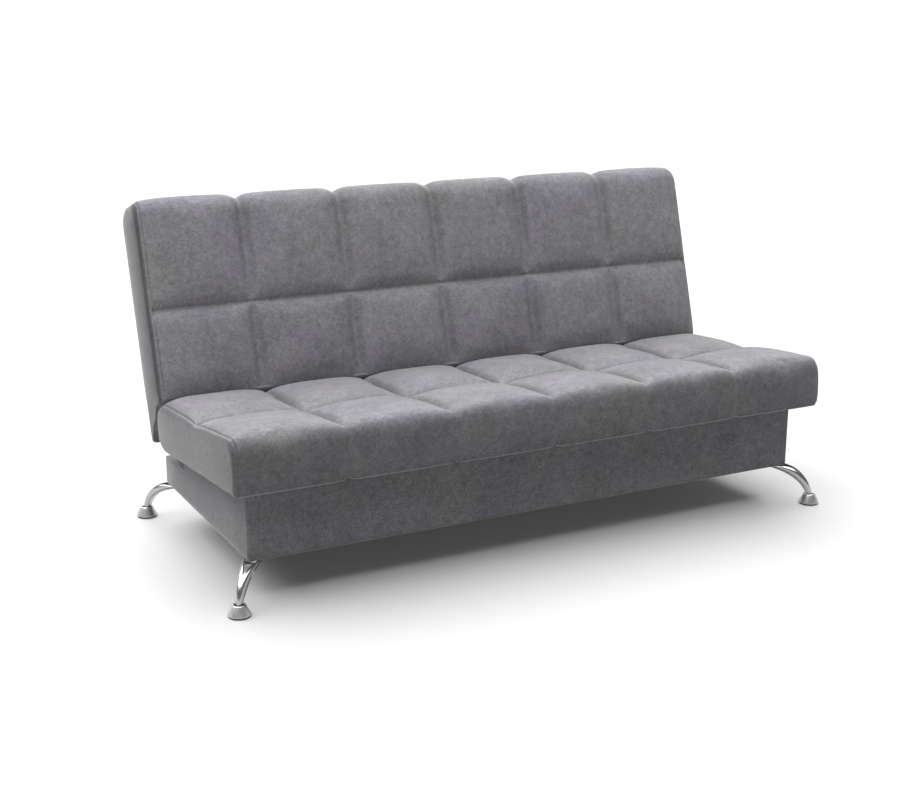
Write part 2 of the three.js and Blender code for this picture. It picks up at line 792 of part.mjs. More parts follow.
function addBack() {
  const cushion = {
    group: backGroup,
    name: "back",
    halfWidth: backPocketHalfWidth,
    y0: backPocketBottom,
    y1: backPocketTop,
    top: hingeDepth - paddingThickness,
    bottom: backRearFace,
    foamThickness: backFoamThickness,
    midY: backRowLine,
    railInner: backRailInner,
    armInner: backArmInner,
    armAtHigh: false,
    lowRail: "bottom",
    highRail: "top",
    notchY: backSlotHeight,
  };
  addPiece(backGroup, "back_cover", backCover(), fabric());
  cushionInside(cushion);
  addPiece(backGroup, "back_rear_cloth", clothPanel(cushion), fabric());
}

// Mechanism, drawn for the right end

const bore = pinRadius + clearance;
const seatArmSpan = [seatArmInner, seatArmInner + plateThickness];
const backArmSpan = [backArmInner, backArmInner + plateThickness];
const through = [backArmInner - cutOverrun, bracketInner + cutOverrun];
const liftPinPlace = seenFromSeat(liftHinge);
const toothPlace = ratchetHinge.y - sectorRadius - pawlLift;
const pawlPivot = { y: toothPlace - pawlSetBack, z: ratchetHinge.z - pawlReach };
const pawlTail = { y: pawlPivot.y, z: pawlPivot.z - pawlTailReach };
const springPost = { y: pawlPivot.y - springPostSetBack, z: pawlTail.z };
const pawlDrop = THREE.MathUtils.degToRad(pawlDropDegrees);
const toothRise = pawlSetBack * Math.sin(pawlDrop) + pawlReach * (1 - Math.cos(pawlDrop));
const tailTravel = pawlTailReach * Math.tan(pawlDrop);
const springReach = springRadius + springWireRadius;
const springMiddle = seatArmInner - clearance - springReach;

// The seat's arm holds the ratchet pin and carries the seat on the lift pin
function seatArm() {
  const railPlace = {
    y: seatPocketRear - armRailHalfHeight,
    z: -seatThickness + armRailRise,
  };
  const railEnd = { y: seatRowLine + railThickness / 2 + armEndRoom, z: railPlace.z };
  const post = (place, radius, inner) => roundAlongX(place, radius, [inner, seatArmSpan[1]]);
  return web(railEnd, railPlace, armRailHalfHeight, seatArmSpan)
    .add(web(railPlace, ratchetHinge, armWebHalfWidth, seatArmSpan))
    .add(web(railPlace, liftPinPlace, armWebHalfWidth, seatArmSpan))
    .add(web(ratchetHinge, liftPinPlace, armWebHalfWidth, seatArmSpan))
    .add(roundAlongX(ratchetHinge, ratchetHubRadius, seatArmSpan))
    .add(roundAlongX(liftPinPlace, liftHubRadius, seatArmSpan))
    .add(post(pawlPivot, pawlStudRadius, backArmInner - plateGap))
    .add(post(springPost, springPostRadius, springMiddle - springReach))
    .subtract(roundAlongX(ratchetHinge, bore, through))
    .subtract(roundAlongX(liftPinPlace, bore, through));
}

// The back's arm ends in a notched sector round the ratchet pin. It is drawn in the back's own frame.
function backArm() {
  const middle = { y: 0, z: 0 };
  const railStart = { y: backPocketBottom + backArmHalfWidth, z: -backArmDrop };
  const railEnd = { y: backRowLine - railThickness / 2 - armEndRoom, z: railStart.z };
  let arm = roundAlongX(middle, sectorRadius, backArmSpan)
    .add(web(middle, railStart, backArmHalfWidth, backArmSpan))
    .add(web(railStart, railEnd, backArmHalfWidth, backArmSpan));
  const notch = block(
    through,
    [sectorRadius - notchDepth, sectorRadius + notchDepth],
    [-notchHalfWidth, notchHalfWidth],
  );
  for (const recline of notchTurnDegrees) {
    const turn = 180 - THREE.MathUtils.radToDeg(restTurn) + recline;
    arm = arm.subtract(notch.rotate([turn, 0, 0]));
  }
  return arm.subtract(roundAlongX(middle, bore, through));
}

function pawl() {
  const head = { y: pawlPivot.y, z: pawlPivot.z + pawlReach };
  const tooth = block(
    backArmSpan,
    [pawlPivot.y, toothPlace],
    [head.z + toothRise - pawlToothHalfWidth, head.z + toothRise + pawlToothHalfWidth],
  );
  return web(pawlPivot, head, pawlTailHalfWidth, backArmSpan)
    .add(web(pawlPivot, pawlTail, pawlTailHalfWidth, backArmSpan))
    .add(roundAlongX(pawlPivot, pawlHubRadius, backArmSpan))
    .add(tooth)
    .subtract(roundAlongX(pawlPivot, pawlStudRadius + clearance, through));
}

// A headed pin, with its inner head next to the plate whose inner face is given
function headedPin(place, plateInner, outer, outerHead) {
  const headOuter = plateInner - clearance;
  const inner = headOuter - pinHeadThickness;
  const pin = roundAlongX(place, pinRadius, [inner, outer])
    .add(roundAlongX(place, pinHeadRadius, [inner, headOuter]));
  if (!outerHead) return pin;
  return pin.add(roundAlongX(place, pinHeadRadius, [outer - outerHead, outer]));
}

class Coil extends THREE.Curve {
  getPoint(share) {
    const turn = 2 * Math.PI * springTurns * share;
    const from = springPost.y + springPostRadius + springWireRadius + clearance;
    const to = pawlTail.y - pawlTailHalfWidth - springWireRadius - tailTravel - clearance;
    return new THREE.Vector3(
      springMiddle + springRadius * Math.sin(turn),
      from + (to - from) * share,
      springPost.z + springRadius * Math.cos(turn),
    );
  }
}

function pawlSpring() {
  const section = new THREE.Shape();
  for (let i = 0; i < springWireSides; i++) {
    const turn = (2 * Math.PI * i) / springWireSides;
    const [x, y] = [springWireRadius * Math.cos(turn), springWireRadius * Math.sin(turn)];
    if (i) section.lineTo(x, y);
    else section.moveTo(x, y);
  }
  const steps = springTurns * springStepsPerTurn;
  return solid(new THREE.ExtrudeGeometry(section, { steps, extrudePath: new Coil() }));
}

function bracket() {
  const { y, z } = liftHinge;
  const plate = block(
    [bracketInner, bracketInner + plateThickness],
    [y - bracketAhead, y + bracketBehind],
    [z - bracketBelow, z + bracketAbove],
  );
  return plate.subtract(roundAlongX(liftHinge, bore, through));
}

function addMechanism() {
  addPair(sofa, "base_bracket", bracket(), zincSteel);
  const liftPinOuter = panelInside - clearance;
  addPair(sofa, "lift_pin", headedPin(liftHinge, seatArmInner, liftPinOuter, 0), zincSteel);
  addPair(seatGroup, "seat_arm", seatArm(), zincSteel);
  const ratchetPinOuter = seatArmSpan[1] + clearance + ratchetPinHead;
  const ratchetPin = headedPin(ratchetHinge, backArmInner, ratchetPinOuter, ratchetPinHead);
  addPair(seatGroup, "ratchet_pin", ratchetPin, zincSteel);
  addPair(backGroup, "back_arm", backArm(), zincSteel);
  addPair(seatGroup, "pawl", pawl(), zincSteel);
  addPair(seatGroup, "pawl_spring", pawlSpring(), springSteel);
}

addBox();
addLegs();
addSeat();
addBack();
addMechanism();

// The origin goes to the middle of the floor under the sofa
const reach = new THREE.Box3().setFromObject(sofa, true);
sofa.position.y = -(reach.min.y + reach.max.y) / 2;

export default sofa;
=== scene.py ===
"""A grey click clack sofa bed: tufted seat and back, an upholstered storage box and four chromed legs.

Metres, +Z up, the front faces -Y, and the origin is on the floor in the middle of the sofa.
"""

import math

import bmesh
import bpy
from mathutils import Matrix, Vector


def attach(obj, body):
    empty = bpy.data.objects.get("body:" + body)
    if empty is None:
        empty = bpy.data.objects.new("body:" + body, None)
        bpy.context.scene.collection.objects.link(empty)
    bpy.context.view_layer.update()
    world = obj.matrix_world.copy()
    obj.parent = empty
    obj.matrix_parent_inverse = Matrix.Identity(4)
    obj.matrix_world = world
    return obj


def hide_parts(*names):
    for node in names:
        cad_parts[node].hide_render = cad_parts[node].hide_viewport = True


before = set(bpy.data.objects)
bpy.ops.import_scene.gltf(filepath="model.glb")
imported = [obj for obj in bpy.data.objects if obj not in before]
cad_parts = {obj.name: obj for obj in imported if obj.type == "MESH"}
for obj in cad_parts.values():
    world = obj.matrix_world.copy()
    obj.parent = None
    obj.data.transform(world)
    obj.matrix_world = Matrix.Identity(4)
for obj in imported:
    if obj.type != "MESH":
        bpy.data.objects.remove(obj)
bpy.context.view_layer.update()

MM = 0.001
COLUMNS = 6

# The seat lies in a frame of its own: X along the sofa, Y back from its front seam, Z out of its face.
SEAT_HALF_WIDTH = 0.950
SEAT_DEPTH = 0.678
SEAT_THICKNESS = 0.1366
SEAT_ROW = 0.3143
SEAT_TILT = math.radians(4.8)
SEAT_FRAME = Matrix.Translation((0, -0.45304, 0.4583)) @ Matrix.Rotation(-SEAT_TILT, 4, "X")

# So does the back: Y up its face from the hinge line, Z out of its face.
BACK_HALF_WIDTH = 0.9485
BACK_TOP = 0.656
BACK_START = 0.058
BACK_TAIL = -0.0466
BACK_FACE = 0.0683
BACK_REAR = -0.0967
BACK_ROW = 0.3347
BACK_FRAME = Matrix.Translation((0, 0.214878, 0.333673)) @ Matrix.Rotation(math.radians(73.7), 4, "X")

# The tail below the back, as places up it and out of its face: it curves round the seat's rear end, and
# stays clear of it when the back lies flat.
TAIL_FACE = (
    (BACK_TAIL, -0.0727), (-0.020, -0.0600), (-0.012, -0.0530), (-0.004, -0.0430),
    (0.004, -0.0270), (0.012, -0.0130), (0.020, -0.0050), (0.030, 0.0005),
    (0.040, 0.0080), (0.050, 0.0190), (BACK_START, 0.0380),
)
TAIL_STEPS = 18

# How far the pads swell where they are fullest, and the round corners of the cushions
SEAT_CROWN = 0.0308
SEAT_NOSE_RADIUS = 0.028
SEAT_HEM_RADIUS = 0.012
SEAT_REAR_RADIUS = 0.053
SEAT_END_RADIUS = 0.014
BACK_CROWN = 0.0168
BACK_TOP_RADIUS = 0.046
BACK_FOOT_RADIUS = 0.024
BACK_END_RADIUS = 0.016

# The rings of a cushion's mesh across each column and round each end, and the steps that puff it up
COLUMN_STEPS = 26
END_STEPS = 6
PUFF_STEPS = 20

# The pocket for foam and frame in each cushion: how far across, from where to where along, and its top
SEAT_POCKET = (0.8985, 0.020, 0.585, -0.025)
BACK_POCKET = (0.893, 0.085, 0.620, 0.0433)
POCKET_ROOM = 0.3 * MM

# The slots that the hinge plates turn in: where they lie across both cushions, where the seat's start and
# where they are open at the top, and where the back's end
SLOT = (0.852, 0.877)
SEAT_SLOT_START = 0.540
SEAT_SLOT_OPEN = 0.632
BACK_SLOT_END = 0.110

# The storage box under the seat. Its top follows the seat's underside, and steps down behind it.
BOX_HALF_WIDTH = 0.8965
BOX_FRONT, BOX_REAR = -0.39484, 0.33606
BOX_UNDERSIDE = 0.118
BOX_SHOULDER = BOX_REAR - 0.214
BOX_SHOULDER_FOOT = BOX_SHOULDER + 0.031
BOX_REAR_TOP = 0.210
BOX_REAR_FALL = 0.006
BOX_SEAT_GAP = 0.4 * MM
BOX_CORNER = 0.009

# The box's panels, how far they stand in from the cloth's outer face, and the cloth that is turned down
# behind them
PANEL_THICKNESS = 0.016
PANEL_INSET = 2.3 * MM
TURNED_DOWN = 1.2 * MM

# A leg stands in an upright plane of its own: X runs out from its corner of the box, Z up.
LEG_TOP = 0.1177
LEG_FOOT = 0.0166
FOOT_OUT = 0.07766
FOOT_DIRECTION = (0.0505, 0.059)


# Meshes


def piece_from(bm, name, material, smooth_below=50):
    """The finished mesh as an object, shaded smooth except at edges sharper than an angle in degrees."""
    bmesh.ops.recalc_face_normals(bm, faces=bm.faces[:])
    mesh = bpy.data.meshes.new(name)
    bm.to_mesh(mesh)
    bm.free()
    mesh.shade_smooth()
    mesh.set_sharp_from_angle(angle=math.radians(smooth_below))
    if material:
        mesh.materials.append(material)
    piece = bpy.data.objects.new(name, mesh)
    bpy.context.scene.collection.objects.link(piece)
    return piece


def settled(piece):
    """Replaces the piece's mesh with what its modifiers make of it."""
    seen = piece.evaluated_get(bpy.context.evaluated_depsgraph_get())
    mesh = bpy.data.meshes.new_from_object(seen)
    piece.modifiers.clear()
    piece.data = mesh
    mesh.name = piece.name


def subdivided(piece):
    finish = piece.modifiers.new("Subdivision", "SUBSURF")
    finish.levels = finish.render_levels = 1
    settled(piece)


def block(low, high):
    """A square block between two corners."""
    bm = bmesh.new()
    bmesh.ops.create_cube(bm, size=1)
    for vert in bm.verts:
        vert.co = [a + (b - a) * (c + 0.5) for a, b, c in zip(low, high, vert.co)]
    return bm


def drawn_on(bm, edges, move):
    """Extrudes a run of edges by a move, and gives the new run."""
    made = bmesh.ops.extrude_edge_only(bm, edges=edges)["geom"]
    bmesh.ops.translate(bm, verts=[v for v in made if isinstance(v, bmesh.types.BMVert)], vec=move)
    return [e for e in made if isinstance(e, bmesh.types.BMEdge)]


def thickened(bm, move):
    """Extrudes all the faces by a move."""
    made = bmesh.ops.extrude_face_region(bm, geom=bm.faces[:])["geom"]
    bmesh.ops.translate(bm, verts=[v for v in made if isinstance(v, bmesh.types.BMVert)], vec=move)


# Shares of a stretch


def within(share):
    """The share, kept from 0 to 1."""
    return min(1, max(0, share))


def eased(share):
    """From 0 to 1 with a gentle start and end."""
    share = within(share)
    return share * share * (3 - 2 * share)


def hump(share, power=2):
    """1 in the middle of a stretch and 0 at both of its ends."""
    return max(0, 1 - abs(2 * share - 1) ** power)


# Tufted cushions


def gathered(start, end, count, pull=0.6):
    """Places from start to end, crowded together at both ends."""
    places = []
    for i in range(count + 1):
        share = i / count
        crowding = pull * math.sin(2 * math.pi * share) / (2 * math.pi)
        places.append(start + (end - start) * (share - crowding))
    return places


def side_sheet(along, across):
    """A flat sheet of squares in a cushion's side plane, with its lines at the given places."""
    bm = bmesh.new()
    bmesh.ops.create_grid(bm, x_segments=len(along) - 1, y_segments=len(across) - 1, size=0.5)
    for vert in bm.verts:
        i = round((vert.co.x + 0.5) * (len(along) - 1))
        j = round((vert.co.y + 0.5) * (len(across) - 1))
        vert.co = Vector((0, along[i], across[j]))
    return bm


def round_corner(bm, corner, inwards, radius):
    """Draws the sheet's square corner in to a round one, and what lies inside it along."""
    for vert in bm.verts:
        away_y, away_z = vert.co.y - corner[0], vert.co.z - corner[1]
        u, w = 1 - abs(away_y) / radius, 1 - abs(away_z) / radius
        if u <= 0 or w <= 0:
            continue
        vert.co.y = corner[0] + inwards[0] * radius * (1 - u * math.sqrt(1 - w * w / 2))
        vert.co.z = corner[1] + inwards[1] * radius * (1 - w * math.sqrt(1 - u * u / 2))


def widened(bm, half_width, end_radius):
    """Carries the side sheet across the cushion, with its rings crowded together at the channels and its
    two ends rounded off."""
    thickened(bm, (1, 0, 0))
    column = 2 * half_width / COLUMNS
    places = []
    for i in range(COLUMNS):
        places += gathered(-half_width + i * column, -half_width + (i + 1) * column, COLUMN_STEPS)[1:]
    inner = [x for x in places if abs(x) < half_width - 1.3 * end_radius]
    turns = [math.pi / 2 * i / END_STEPS for i in range(END_STEPS + 1)]
    ends = [(half_width - end_radius * (1 - math.cos(a)), end_radius * (1 - math.sin(a))) for a in turns]
    stations = [(-x, inset) for x, inset in ends] + [(x, 0) for x in inner] + ends[::-1]
    across = [e for e in bm.edges if abs(e.verts[0].co.x - e.verts[1].co.x) > 0.5]
    bmesh.ops.subdivide_edges(bm, edges=across, cuts=len(stations) - 2, use_grid_fill=True)
    ys, zs = [v.co.y for v in bm.verts], [v.co.z for v in bm.verts]
    middle = Vector((0, (min(ys) + max(ys)) / 2, (min(zs) + max(zs)) / 2))
    half = Vector((1, (max(ys) - min(ys)) / 2, (max(zs) - min(zs)) / 2))
    for vert in bm.verts:
        x, inset = stations[round(vert.co.x * (len(stations) - 1))]
        vert.co.y = middle.y + (vert.co.y - middle.y) * (1 - inset / half.y)
        vert.co.z = middle.z + (vert.co.z - middle.z) * (1 - inset / half.z)
        vert.co.x = x
    bmesh.ops.recalc_face_normals(bm, faces=bm.faces[:])


def across_pad(x, half_width, power, end_power):
    """How full a pad is between the channels at its sides: 0 in them, and 1 in the middle. The outer half of
    an end pad has a power of its own."""
    column = half_width / COLUMNS
    in_end_half = abs(x) > half_width - column
    return hump(((x + half_width) / (2 * column)) % 1, end_power if in_end_half else power)


def to_channel(x, half_width):
    """The distance to the nearest channel that runs front to back, leaving out the two ends."""
    column = 2 * half_width / COLUMNS
    nearest = min(max(round((x + half_width) / column), 1), COLUMNS - 1)
    return abs(x + half_width - nearest * column)


def groove(distance, depth, width):
    """The depth of a soft groove at a distance from its middle."""
    return depth * math.exp(-((distance / width) ** 2))


def channel(distance, thread, dip):
    """The depth of a stitched channel: the thread's narrow groove in a wide dip, both as their depth and
    width in millimetres."""
    return sum(groove(distance, depth * MM, width * MM) for depth, width in (thread, dip))


def seat_fullness(co):
    """How much of the crown a place on the seat takes, from the hem round to the nose."""
    y, depth = co.y, -co.z / SEAT_THICKNESS
    end_power = 5.5 + 9 * eased(1 - y / 0.12)
    across = across_pad(co.x, SEAT_HALF_WIDTH, 3.3, end_power)
    if abs(co.x) < SEAT_HALF_WIDTH * (1 - 1 / COLUMNS):
        across += (1 - across) * 0.4 * eased((y - 0.5) / 0.1)
    if y < SEAT_ROW:
        share = max(0, y) / SEAT_ROW
        row = (0.42 + 0.46 * eased(share / 0.5)) * (1 - share**9)
        front = 1 - 0.72 * eased(depth / 0.5) - 0.2 * eased((depth - 0.7) / 0.3)
        return across * (row * front if y < 0.04 else row * (depth < 0.5))
    share = (y - SEAT_ROW) / (SEAT_DEPTH - SEAT_ROW)
    rear = 1 - within((share - 0.69) / 0.215) ** 3
    return across * (1 - (1 - share) ** 7) * rear * (depth < 0.5)


def back_fullness(co):
    """The same for the back, from its lower end up the face and over its top edge."""
    y, depth = co.y, (BACK_FACE - co.z) / (BACK_FACE - BACK_REAR)
    if y < BACK_ROW:
        share = (y - BACK_START) / (BACK_ROW - BACK_START)
        row = (1 - max(0, share) ** 7) * eased(share / 0.3) * (1 - eased(depth / 0.35))
        return row * across_pad(co.x, BACK_HALF_WIDTH, 3.2, 4)
    share = (y - BACK_ROW) / (BACK_TOP - BACK_ROW)
    over_top = eased((share - 0.7) / 0.3)
    row = (1 - max(0, 1 - share) ** 5.5) * (1 - 0.42 * over_top) * (1 - 0.8 * eased(depth / 0.95))
    across = across_pad(co.x, BACK_HALF_WIDTH, 3.2 + 3 * over_top, 4)
    return row * across * (depth < 0.5 or share > 0.9)


def crowned(bm, fullness, shape, crown):
    """Swells each pad between its channels, out along the outline, and adds the cushion's own shape."""
    bm.normal_update()
    moves = []
    for vert in bm.verts:
        out = Vector((0, vert.normal.y, vert.normal.z))
        swell = Vector()
        if abs(vert.normal.x) < 0.9 and out.length > 0.1:
            swell = out.normalized() * crown * fullness(vert.co)
        moves.append(swell + shape(vert.co))
    for vert, move in zip(bm.verts, moves):
        vert.co += move


def held_in(piece, test):
    """A vertex group of the places that stitching or the frame holds still."""
    group = piece.vertex_groups.new(name="stitched")
    group.add([v.index for v in piece.data.vertices if test(v.co)], 1.0, "REPLACE")
    return group.name


def puffed(piece, held, pressure, cap):
    """Fills the cushion with air as cloth, held at its stitching, and lets no place move past a cap."""
    cloth = piece.modifiers.new("Cloth", "CLOTH")
    cloth.settings.quality = 6
    cloth.settings.mass = 0.3
    cloth.settings.use_pressure = True
    cloth.settings.uniform_pressure_force = pressure
    cloth.settings.vertex_group_mass = held
    cloth.settings.tension_stiffness = cloth.settings.compression_stiffness = 20
    cloth.settings.bending_stiffness = 0.6
    cloth.settings.effector_weights.gravity = 0
    cloth.point_cache.frame_start, cloth.point_cache.frame_end = 1, PUFF_STEPS
    for step in range(1, PUFF_STEPS + 1):
        bpy.context.scene.frame_set(step)
    blown = piece.evaluated_get(bpy.context.evaluated_depsgraph_get()).data
    places = [v.co.copy() for v in blown.vertices]
    piece.modifiers.clear()
    bpy.context.scene.frame_set(1)
    for vert, place in zip(piece.data.vertices, places):
        move = place - vert.co
        if move.length > cap:
            move *= cap / move.length
        vert.co += move


def stitched_in(piece, depth_at):
    """Draws each place of a finished cushion in along its normal, by what its stitching takes there."""
    normals = [v.normal.copy() for v in piece.data.vertices]
    for vert, normal in zip(piece.data.vertices, normals):
        vert.co -= normal * depth_at(vert.co, normal)
    piece.data.update()


def block_cutter(low, high):
    return piece_from(block(low, high), "cutter", None)


def cut_out(piece, cutters):
    """Takes the cutters' shapes out of the piece."""
    for cutter in cutters:
        cut = piece.modifiers.new("Cut", "BOOLEAN")
        cut.operation, cut.solver, cut.object = "DIFFERENCE", "MANIFOLD", cutter
    settled(piece)
    for cutter in cutters:
        bpy.data.objects.remove(cutter)


def pocket_cutter(pocket, below):
    half_width, start, end, top = pocket
    return block_cutter((-half_width, start, below), (half_width, end, top))


def slots(low, high):
    """The same slot for the hinge plates at both ends of a cushion."""
    return [block_cutter((a, *low), (b, *high)) for a, b in (SLOT, (-SLOT[1], -SLOT[0]))]


def seat_cushion(material):
    along = gathered(0, SEAT_ROW, count=26) + gathered(SEAT_ROW, SEAT_DEPTH, count=28)[1:]
    bm = side_sheet(along, gathered(-SEAT_THICKNESS, 0, count=14, pull=0.4))
    round_corner(bm, (0, 0), (1, -1), SEAT_NOSE_RADIUS)
    round_corner(bm, (0, -SEAT_THICKNESS), (1, 1), SEAT_HEM_RADIUS)
    round_corner(bm, (SEAT_DEPTH, 0), (-1, -1), SEAT_REAR_RADIUS)
    round_corner(bm, (SEAT_DEPTH, -SEAT_THICKNESS), (-1, 1), SEAT_REAR_RADIUS)
    widened(bm, SEAT_HALF_WIDTH, SEAT_END_RADIUS)

    def shape(co):
        depth = within(-co.z / SEAT_THICKNESS)
        on_top = (co.z > -0.034) * eased(1 + co.z / 0.033)
        rise = 9 * MM * (1 - eased((co.y - 0.03) / (SEAT_ROW - 0.03))) * on_top
        bulge = 7 * MM * eased(1 - co.y / 0.05) * math.sin(math.pi * depth)
        notch = groove(to_channel(co.x, SEAT_HALF_WIDTH), 7 * MM, 10 * MM) * eased((depth - 0.8) / 0.15)
        towards_end = eased((abs(co.x) - SEAT_HALF_WIDTH + 0.02) / 0.02)
        fullness = towards_end * hump(depth, 2.2) * hump(co.y / SEAT_DEPTH, 5)
        lift = rise + notch * eased(1 - co.y / 0.04)
        return Vector((math.copysign(4 * MM * fullness, co.x), -bulge, lift))

    crowned(bm, seat_fullness, shape, SEAT_CROWN)
    cushion = piece_from(bm, "seat_cushion", material)

    def fixed(co):
        if co.z < -SEAT_THICKNESS + 10 * MM or abs(co.x) > SEAT_HALF_WIDTH - 8 * MM or co.y > 0.62:
            return True
        on_top = co.z > -0.03 and 0.2 < co.y
        return (on_top and abs(co.y - SEAT_ROW) < 1 * MM) or to_channel(co.x, SEAT_HALF_WIDTH) < 1 * MM

    puffed(cushion, held_in(cushion, fixed), pressure=4, cap=7 * MM)
    cushion.vertex_groups.clear()
    subdivided(cushion)

    def depth_at(co, normal):
        if co.z < -SEAT_THICKNESS + 2 * MM or normal.z < -0.7:
            return 0
        column = channel(to_channel(co.x, SEAT_HALF_WIDTH), (2.6, 3.2), (4.5, 14))
        column *= 0.5 + 0.5 * eased((co.y - 0.01) / 0.05)
        row = channel(co.y - SEAT_ROW, (3.2, 3.6), (4.5, 14))
        row *= eased((co.z + 0.06) / 0.04) * (co.y > 0.1)
        row *= eased((SEAT_HALF_WIDTH - 5 * MM - abs(co.x)) / (10 * MM))
        seam = groove(abs(co.x) - SEAT_HALF_WIDTH + 8.5 * MM, 2.6 * MM, 2.4 * MM)
        hem = groove(co.z + SEAT_THICKNESS - 10 * MM, 1.6 * MM, 2.2 * MM)
        return max(column * eased(1 - (co.y - 0.62) / 0.05), row, seam) + hem

    stitched_in(cushion, depth_at)
    below, behind = -SEAT_THICKNESS - 40 * MM, SEAT_DEPTH + 42 * MM
    inner_slots = slots((SEAT_SLOT_START, below), (behind, -20 * MM))
    open_slots = slots((SEAT_SLOT_OPEN, below), (behind, 40 * MM))
    cut_out(cushion, [pocket_cutter(SEAT_POCKET, below), *inner_slots, *open_slots])
    cushion.data.transform(SEAT_FRAME)
    return cushion


def tail_face_at(y):
    """How far out of the back's face its tail reaches, at a place up it."""
    for (low, near), (high, far) in zip(TAIL_FACE, TAIL_FACE[1:]):
        if y < high - 0.1 * MM:
            return near + (far - near) * (y - low) / (high - low)
    return TAIL_FACE[-1][1]


def back_outline():
    """The side sheet of the back, with the tail drawn down from its lower end."""
    along = gathered(BACK_START, BACK_ROW, count=24) + gathered(BACK_ROW, BACK_TOP, count=28)[1:]
    tail_columns, tail_face = 9, TAIL_FACE[-1][1]
    thickness = tail_face - BACK_REAR
    across = [BACK_REAR + thickness * i / tail_columns for i in range(tail_columns)]
    bm = side_sheet(along, across + gathered(tail_face, BACK_FACE, count=6, pull=0.2))

    def above_tail(vert):
        return abs(vert.co.y - BACK_START) < 1e-5 and vert.co.z < tail_face + 1e-5

    tail = [e for e in bm.edges if all(above_tail(v) for v in e.verts)]
    for _ in range(TAIL_STEPS):
        tail = drawn_on(bm, tail, (0, (BACK_TAIL - BACK_START) / TAIL_STEPS, 0))
    for vert in bm.verts:
        if vert.co.y < BACK_START - 0.1 * MM:
            reach = tail_face_at(vert.co.y) - BACK_REAR
            vert.co.z = BACK_REAR + (vert.co.z - BACK_REAR) * reach / thickness
    return bm


def back_cushion(material):
    bm = back_outline()
    round_corner(bm, (BACK_START, BACK_FACE), (1, -1), BACK_FOOT_RADIUS)
    round_corner(bm, (BACK_TOP, BACK_FACE), (-1, -1), BACK_TOP_RADIUS)
    round_corner(bm, (BACK_TOP, BACK_REAR), (-1, 1), BACK_TOP_RADIUS)
    widened(bm, BACK_HALF_WIDTH, BACK_END_RADIUS)

    def shape(co):
        depth = (co.z - BACK_REAR) / (BACK_FACE - BACK_REAR)
        end = eased((abs(co.x) - BACK_HALF_WIDTH + 0.025) / 0.025) * hump(depth, 2.4)
        up = eased((co.y - BACK_START) / 0.05) * eased((BACK_TOP - co.y) / 0.05)
        return Vector((math.copysign(5 * MM * end * up, co.x), 0, 0))

    crowned(bm, back_fullness, shape, BACK_CROWN)
    drop, drop_width, drop_height = 0.010, 0.018, 0.13
    for vert in bm.verts:
        past = within(1 - (BACK_HALF_WIDTH - abs(vert.co.x)) / drop_width)
        rise = within((vert.co.y - (BACK_TOP - drop_height)) / drop_height)
        vert.co.y -= drop * (1 - math.sqrt(1 - past * past)) * rise
    cushion = piece_from(bm, "back_cushion", material)

    def fixed(co):
        if co.z < BACK_REAR + 8 * MM or co.y < BACK_START + 0.03 or abs(co.x) > BACK_HALF_WIDTH - 8 * MM:
            return True
        on_face = co.z > BACK_FACE - 0.03
        return (on_face and abs(co.y - BACK_ROW) < 1 * MM) or to_channel(co.x, BACK_HALF_WIDTH) < 1 * MM

    puffed(cushion, held_in(cushion, fixed), pressure=4, cap=6 * MM)
    cushion.vertex_groups.clear()
    subdivided(cushion)

    def depth_at(co, normal):
        if co.z < BACK_REAR + 3 * MM or co.y < BACK_START + 0.02:
            return 0
        column = channel(to_channel(co.x, BACK_HALF_WIDTH), (0.8, 3), (6, 21))
        column *= eased((co.z - BACK_REAR) / 0.06)
        row = channel(co.y - BACK_ROW, (3.5, 4), (7, 21))
        row *= eased((co.z - BACK_FACE + 0.06) / 0.04) * (co.y < 0.5)
        row *= eased((BACK_HALF_WIDTH - 7 * MM - abs(co.x)) / (10 * MM))
        seam = groove(abs(co.x) - BACK_HALF_WIDTH + 11 * MM, 1.6 * MM, 2.6 * MM) * (normal.z > -0.5)
        return max(column, row, seam)

    stitched_in(cushion, depth_at)
    rear = BACK_REAR - 40 * MM
    hinge_slots = slots((-100 * MM, rear), (BACK_SLOT_END, BACK_POCKET[-1] + 5 * MM))
    cut_out(cushion, [pocket_cutter(BACK_POCKET, rear), *hinge_slots])
    cushion.data.transform(BACK_FRAME)
    return cushion


# Inside the cushions


def in_pocket(pocket):
    """What fits a pocket with a little room: how far across, and from where to where along."""
    half_width, start, end, _ = pocket
    return half_width - POCKET_ROOM, start + POCKET_ROOM, end - POCKET_ROOM


def foam_block(name, pocket, underside, frame_of):
    """A slab of foam under the top of a pocket, with its edges worn round."""
    half_width, start, end = in_pocket(pocket)
    bm = block((-half_width, start, underside), (half_width, end, pocket[-1] - POCKET_ROOM))
    edge = {"offset": 6 * MM, "segments": 3, "profile": 0.5, "affect": "EDGES", "material": -1}
    bmesh.ops.bevel(bm, geom=bm.edges[:], **edge)
    foam = piece_from(bm, name, FOAM)
    foam.data.transform(frame_of)
    return foam


